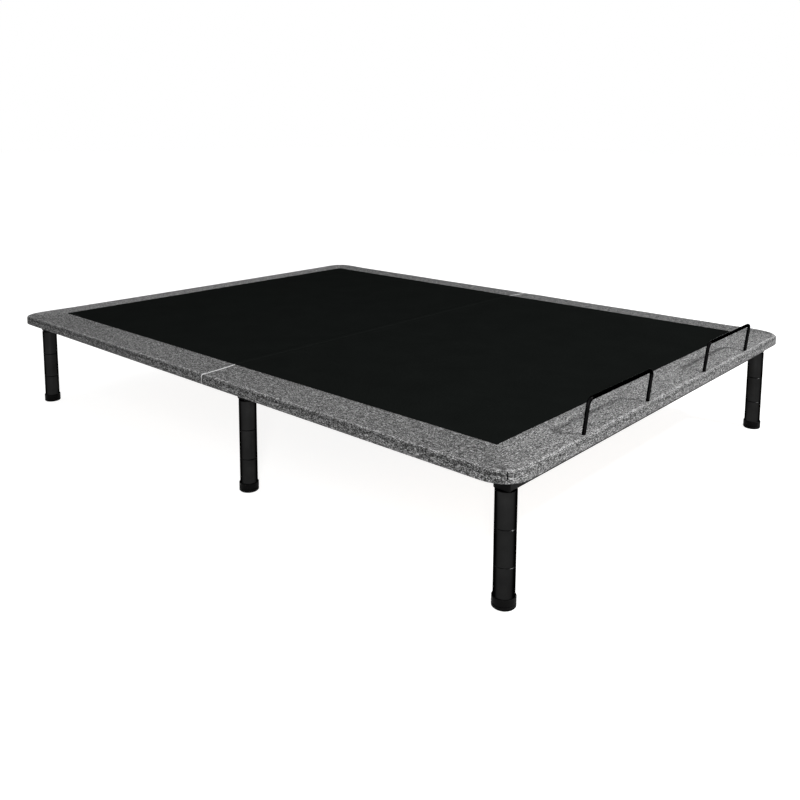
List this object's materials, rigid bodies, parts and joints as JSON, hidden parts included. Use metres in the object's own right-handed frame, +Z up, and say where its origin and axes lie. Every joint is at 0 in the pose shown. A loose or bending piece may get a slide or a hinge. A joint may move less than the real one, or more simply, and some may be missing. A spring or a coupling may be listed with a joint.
{
  "type": "adjustable bed base",
  "caption": "Flat upholstered bed base on tall sectional legs, with a lifting head half, a screw actuator under it and wire mattress stops at the foot.",
  "frame": {"origin": "on the floor, under the centre of the deck", "axes": "+X from head to foot, +Y to the left of a person lying on the bed, +Z up"},
  "size_m": [2.02, 1.52, 0.388],
  "materials": {
    "powder_coat": "satin black powder coat",
    "leg_paint": "semi-gloss black paint",
    "zinc_steel": "zinc-plated steel",
    "black_plastic": "moulded black plastic",
    "grey_plastic": "moulded dark grey plastic",
    "bumper_rubber": "matt black rubber",
    "border_cloth": "grey heather woven cloth",
    "field_cloth": "black woven anti-slip cloth",
    "board_wood": "raw plywood",
    "rod_chrome": "polished steel"
  },
  "bodies": {
    "base": {"head_cross_rail": "powder_coat", "mid_cross_rail": "powder_coat", "foot_cross_rail": "powder_coat", "right_head_side_rail": "powder_coat", "left_head_side_rail": "powder_coat", "right_foot_side_rail": "powder_coat", "left_foot_side_rail": "powder_coat", "motor_rail": "powder_coat", "rail_end_caps": "black_plastic", "joint_plates": "powder_coat", "frame_bolts": "zinc_steel", "deck_bumpers": "bumper_rubber", "right_head_leg_lower": "leg_paint", "right_head_leg_middle": "leg_paint", "right_head_leg_upper": "leg_paint", "left_head_leg_lower": "leg_paint", "left_head_leg_middle": "leg_paint", "left_head_leg_upper": "leg_paint", "right_mid_leg_lower": "leg_paint", "right_mid_leg_middle": "leg_paint", "right_mid_leg_upper": "leg_paint", "left_mid_leg_lower": "leg_paint", "left_mid_leg_middle": "leg_paint", "left_mid_leg_upper": "leg_paint", "right_foot_leg_lower": "leg_paint", "right_foot_leg_middle": "leg_paint", "right_foot_leg_upper": "leg_paint", "left_foot_leg_lower": "leg_paint", "left_foot_leg_middle": "leg_paint", "left_foot_leg_upper": "leg_paint", "leg_feet": "black_plastic", "motor_bracket": "powder_coat", "motor_pin": "zinc_steel", "foot_board": "board_wood", "foot_pad": "border_cloth", "foot_field": "field_cloth", "foot_hinge_leaves": "zinc_steel", "hinge_pins": "zinc_steel", "control_box": "black_plastic", "control_screws": "zinc_steel", "right_retainer_bar": "powder_coat", "left_retainer_bar": "powder_coat", "retainer_sockets": "powder_coat"},
    "head": {"head_board": "board_wood", "head_pad": "border_cloth", "head_field": "field_cloth", "head_hinge_leaves": "zinc_steel", "right_lift_tube": "powder_coat", "left_lift_tube": "powder_coat", "lift_cross_tube": "powder_coat", "lift_bolts": "zinc_steel", "lift_bracket": "powder_coat", "lift_pin": "zinc_steel"},
    "actuator": {"actuator_gearbox": "grey_plastic", "actuator_motor": "powder_coat", "actuator_tube": "powder_coat", "lead_screw": "zinc_steel"},
    "rod": {"push_rod": "rod_chrome", "drive_nut": "black_plastic", "rod_eye": "rod_chrome"}
  },
  "joints": [
    {"name": "head_tilt", "type": "hinge", "parent": "base", "child": "head", "pos_m": [0.035, 0, 0.296], "axis": [0, 1, 0], "range_deg": [0, 60]},
    {"name": "actuator_swing", "type": "hinge", "parent": "base", "child": "actuator", "pos_m": [0.21178, 0, 0.11922], "axis": [0, 1, 0], "range_deg": [0, 30]},
    {"name": "rod_swing", "type": "hinge", "parent": "head", "child": "rod", "pos_m": [-0.14178, 0, 0.11922], "axis": [0, 1, 0], "range_deg": [-30, 0]}
  ],
  "couplings": [
    {"joint": "actuator_swing", "follows": "head_tilt", "ratio": 0.5},
    {"joint": "rod_swing", "follows": "head_tilt", "ratio": -0.5}
  ]
}
